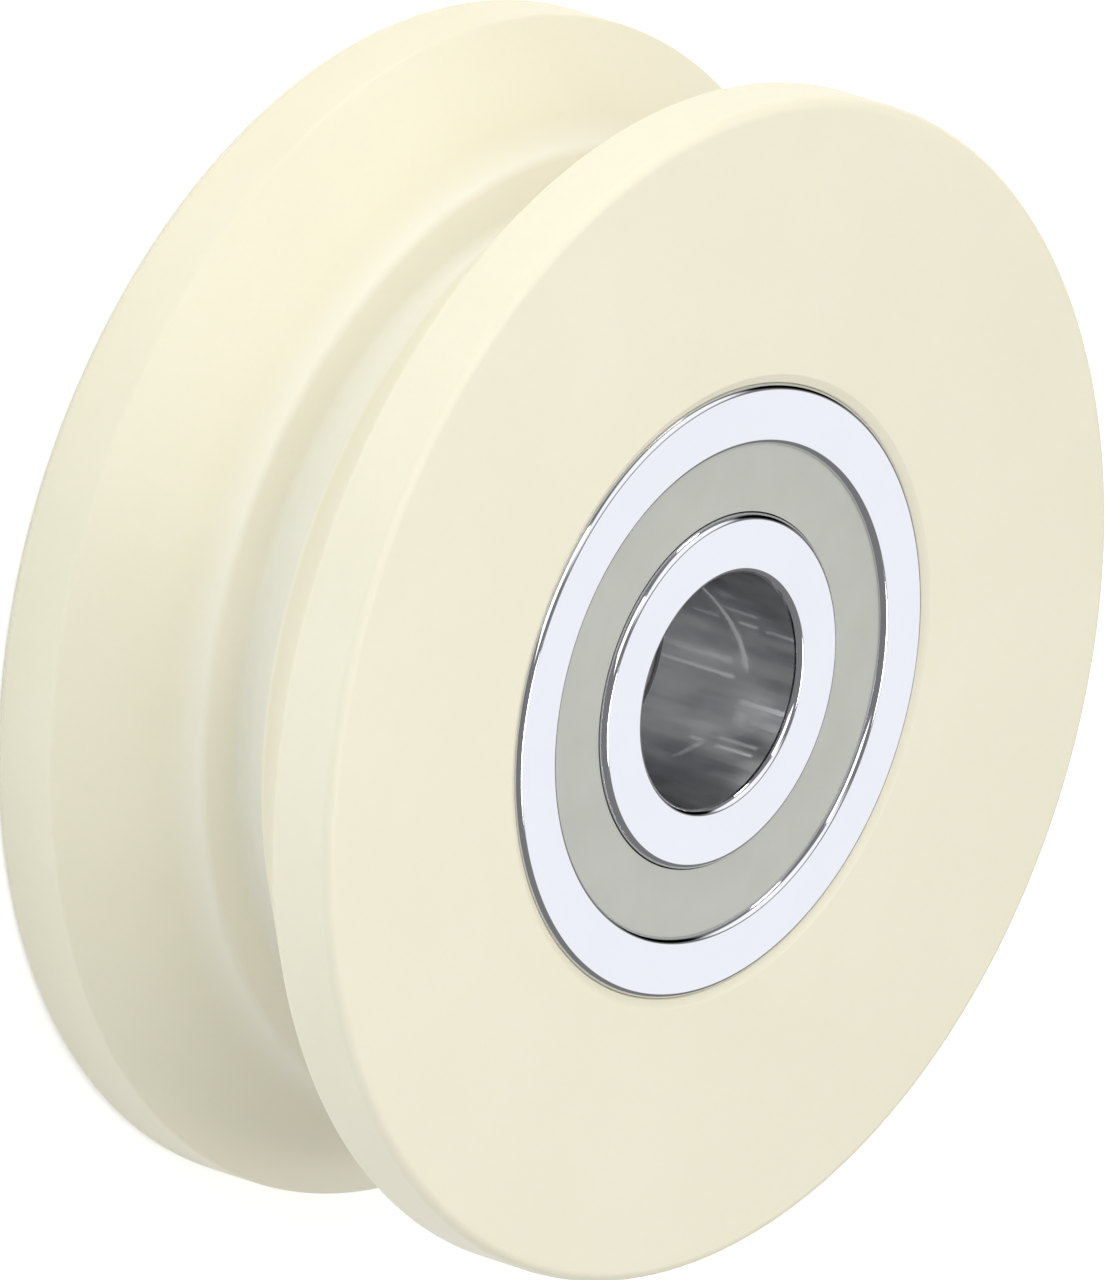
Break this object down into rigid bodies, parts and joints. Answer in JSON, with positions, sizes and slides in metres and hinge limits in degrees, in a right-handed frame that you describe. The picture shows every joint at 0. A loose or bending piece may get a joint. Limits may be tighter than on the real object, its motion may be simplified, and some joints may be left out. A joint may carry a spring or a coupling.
{
  "type": "double flanged wheel",
  "caption": "Cast nylon rail wheel with two flanges, sloping lead-ins and a narrow tread, turning on sealed ball bearings with a plain axle bore.",
  "frame": {"origin": "centre of the wheel, on the axle's axis and half way between its two side faces", "axes": "+Z along the axle, out of the front face; the wheel lies on its rear face, and +X and +Y are radial"},
  "size_m": [0.1, 0.1, 0.0356],
  "materials": {
    "nylon": "natural cast nylon, turned, satin",
    "ring_steel": "ground bearing steel",
    "ball_steel": "polished bearing steel",
    "cage_steel": "pressed sheet steel",
    "seal_rubber": "matt grey nitrile rubber",
    "sleeve_steel": "turned steel"
  },
  "bodies": {
    "hub": {"front_inner_ring": "ring_steel", "rear_inner_ring": "ring_steel", "spacer_sleeve": "sleeve_steel"},
    "wheel": {"wheel_body": "nylon", "front_outer_ring": "ring_steel", "front_outboard_seal": "seal_rubber", "front_inboard_seal": "seal_rubber", "rear_outer_ring": "ring_steel", "rear_outboard_seal": "seal_rubber", "rear_inboard_seal": "seal_rubber"},
    "front_cage": {"front_cage_outboard_half": "cage_steel", "front_cage_inboard_half": "cage_steel", "front_cage_rivets": "cage_steel"},
    "front_ball_1_body": {"front_ball_1": "ball_steel"},
    "front_ball_2_body": {"front_ball_2": "ball_steel"},
    "front_ball_3_body": {"front_ball_3": "ball_steel"},
    "front_ball_4_body": {"front_ball_4": "ball_steel"},
    "front_ball_5_body": {"front_ball_5": "ball_steel"},
    "front_ball_6_body": {"front_ball_6": "ball_steel"},
    "front_ball_7_body": {"front_ball_7": "ball_steel"},
    "rear_cage": {"rear_cage_outboard_half": "cage_steel", "rear_cage_inboard_half": "cage_steel", "rear_cage_rivets": "cage_steel"},
    "rear_ball_1_body": {"rear_ball_1": "ball_steel"},
    "rear_ball_2_body": {"rear_ball_2": "ball_steel"},
    "rear_ball_3_body": {"rear_ball_3": "ball_steel"},
    "rear_ball_4_body": {"rear_ball_4": "ball_steel"},
    "rear_ball_5_body": {"rear_ball_5": "ball_steel"},
    "rear_ball_6_body": {"rear_ball_6": "ball_steel"},
    "rear_ball_7_body": {"rear_ball_7": "ball_steel"}
  },
  "joints": [
    {"name": "wheel_spin", "type": "hinge", "parent": "hub", "child": "wheel", "pos_m": [0, 0, 0], "axis": [0, 0, 1], "continuous": true},
    {"name": "front_cage_spin", "type": "hinge", "parent": "hub", "child": "front_cage", "pos_m": [0, 0, 0.0103], "axis": [0, 0, 1], "continuous": true},
    {"name": "front_ball_1_roll", "type": "hinge", "parent": "front_cage", "child": "front_ball_1_body", "pos_m": [0.018, 0, 0.0103], "axis": [0, 0, 1], "continuous": true},
    {"name": "front_ball_2_roll", "type": "hinge", "parent": "front_cage", "child": "front_ball_2_body", "pos_m": [0.01122, 0.01407, 0.0103], "axis": [0, 0, 1], "continuous": true},
    {"name": "front_ball_3_roll", "type": "hinge", "parent": "front_cage", "child": "front_ball_3_body", "pos_m": [-0.00401, 0.01755, 0.0103], "axis": [0, 0, 1], "continuous": true},
    {"name": "front_ball_4_roll", "type": "hinge", "parent": "front_cage", "child": "front_ball_4_body", "pos_m": [-0.01622, 0.00781, 0.0103], "axis": [0, 0, 1], "continuous": true},
    {"name": "front_ball_5_roll", "type": "hinge", "parent": "front_cage", "child": "front_ball_5_body", "pos_m": [-0.01622, -0.00781, 0.0103], "axis": [0, 0, 1], "continuous": true},
    {"name": "front_ball_6_roll", "type": "hinge", "parent": "front_cage", "child": "front_ball_6_body", "pos_m": [-0.00401, -0.01755, 0.0103], "axis": [0, 0, 1], "continuous": true},
    {"name": "front_ball_7_roll", "type": "hinge", "parent": "front_cage", "child": "front_ball_7_body", "pos_m": [0.01122, -0.01407, 0.0103], "axis": [0, 0, 1], "continuous": true},
    {"name": "rear_cage_spin", "type": "hinge", "parent": "hub", "child": "rear_cage", "pos_m": [0, 0, -0.0103], "axis": [0, 0, 1], "continuous": true},
    {"name": "rear_ball_1_roll", "type": "hinge", "parent": "rear_cage", "child": "rear_ball_1_body", "pos_m": [0.018, 0, -0.0103], "axis": [0, 0, 1], "continuous": true},
    {"name": "rear_ball_2_roll", "type": "hinge", "parent": "rear_cage", "child": "rear_ball_2_body", "pos_m": [0.01122, 0.01407, -0.0103], "axis": [0, 0, 1], "continuous": true},
    {"name": "rear_ball_3_roll", "type": "hinge", "parent": "rear_cage", "child": "rear_ball_3_body", "pos_m": [-0.00401, 0.01755, -0.0103], "axis": [0, 0, 1], "continuous": true},
    {"name": "rear_ball_4_roll", "type": "hinge", "parent": "rear_cage", "child": "rear_ball_4_body", "pos_m": [-0.01622, 0.00781, -0.0103], "axis": [0, 0, 1], "continuous": true},
    {"name": "rear_ball_5_roll", "type": "hinge", "parent": "rear_cage", "child": "rear_ball_5_body", "pos_m": [-0.01622, -0.00781, -0.0103], "axis": [0, 0, 1], "continuous": true},
    {"name": "rear_ball_6_roll", "type": "hinge", "parent": "rear_cage", "child": "rear_ball_6_body", "pos_m": [-0.00401, -0.01755, -0.0103], "axis": [0, 0, 1], "continuous": true},
    {"name": "rear_ball_7_roll", "type": "hinge", "parent": "rear_cage", "child": "rear_ball_7_body", "pos_m": [0.01122, -0.01407, -0.0103], "axis": [0, 0, 1], "continuous": true}
  ],
  "couplings": [
    {"joint": "front_cage_spin", "follows": "wheel_spin", "ratio": 0.63229},
    {"joint": "front_ball_1_roll", "follows": "wheel_spin", "ratio": 1.7575},
    {"joint": "front_ball_2_roll", "follows": "wheel_spin", "ratio": 1.7575},
    {"joint": "front_ball_3_roll", "follows": "wheel_spin", "ratio": 1.7575},
    {"joint": "front_ball_4_roll", "follows": "wheel_spin", "ratio": 1.7575},
    {"joint": "front_ball_5_roll", "follows": "wheel_spin", "ratio": 1.7575},
    {"joint": "front_ball_6_roll", "follows": "wheel_spin", "ratio": 1.7575},
    {"joint": "front_ball_7_roll", "follows": "wheel_spin", "ratio": 1.7575},
    {"joint": "rear_cage_spin", "follows": "wheel_spin", "ratio": 0.63229},
    {"joint": "rear_ball_1_roll", "follows": "wheel_spin", "ratio": 1.7575},
    {"joint": "rear_ball_2_roll", "follows": "wheel_spin", "ratio": 1.7575},
    {"joint": "rear_ball_3_roll", "follows": "wheel_spin", "ratio": 1.7575},
    {"joint": "rear_ball_4_roll", "follows": "wheel_spin", "ratio": 1.7575},
    {"joint": "rear_ball_5_roll", "follows": "wheel_spin", "ratio": 1.7575},
    {"joint": "rear_ball_6_roll", "follows": "wheel_spin", "ratio": 1.7575},
    {"joint": "rear_ball_7_roll", "follows": "wheel_spin", "ratio": 1.7575}
  ]
}
